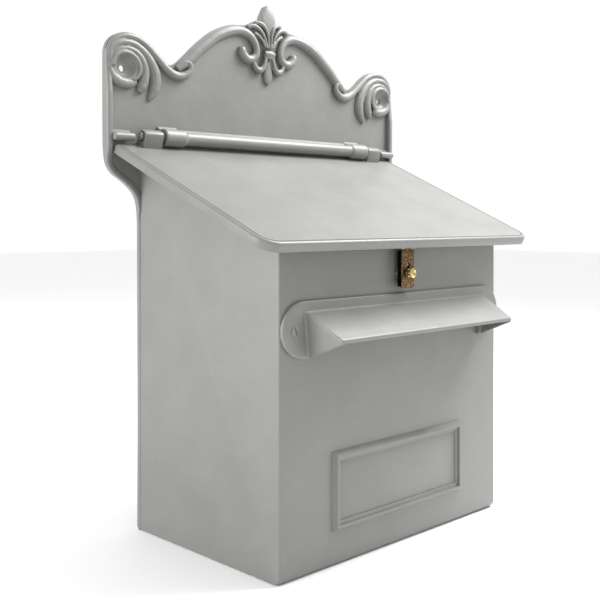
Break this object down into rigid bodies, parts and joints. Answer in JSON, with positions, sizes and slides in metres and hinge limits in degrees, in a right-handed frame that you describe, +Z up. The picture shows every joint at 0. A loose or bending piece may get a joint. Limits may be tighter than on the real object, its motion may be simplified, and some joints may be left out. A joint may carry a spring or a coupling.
{
  "type": "wall mounted mailbox",
  "caption": "Cast wall mailbox with a scrolled crest plate, sloping hinged lid with a turn-knob hasp, hooded letter slot and a blank name frame.",
  "frame": {"origin": "on the wall plane, midway between the two wall-fixing holes", "axes": "+Z up, +X across the box, -Y out of its front, +Y into the wall"},
  "size_m": [0.377, 0.2238, 0.5015],
  "materials": {
    "paint": "satin light grey powder coat over cast aluminium",
    "steel": "zinc plated",
    "brass": "polished, lightly tarnished"
  },
  "bodies": {
    "box": {"back_plate": "paint", "body_shell": "paint", "shell_screws": "steel", "shell_nuts": "steel", "letter_hood": "paint", "hood_screws": "paint", "hood_nuts": "steel", "name_frame": "paint", "name_blank": "paint", "name_frame_screws": "steel", "keeper": "brass", "keeper_screws": "steel", "hinge_pin_left": "paint", "hinge_pin_right": "paint"},
    "lid": {"lid": "paint", "hasp_leaf": "brass", "hasp_leaf_screws": "brass", "hasp_pin": "brass"},
    "hasp": {"hasp_strap": "brass"},
    "knob": {"turn_knob": "brass", "knob_washer": "brass", "catch_bar": "brass"}
  },
  "joints": [
    {"name": "lid_hinge", "type": "hinge", "parent": "box", "child": "lid", "pos_m": [0, -0.0149, -0.0607], "axis": [-1, 0, 0], "range_deg": [0, 115]},
    {"name": "hasp_swing", "type": "hinge", "parent": "lid", "child": "hasp", "pos_m": [0, -0.19186, -0.15923], "axis": [-1, 0, 0], "range_deg": [0, 70]},
    {"name": "knob_turn", "type": "hinge", "parent": "hasp", "child": "knob", "pos_m": [0, -0.19186, -0.1818], "axis": [0, -1, 0], "range_deg": [0, 90]}
  ]
}
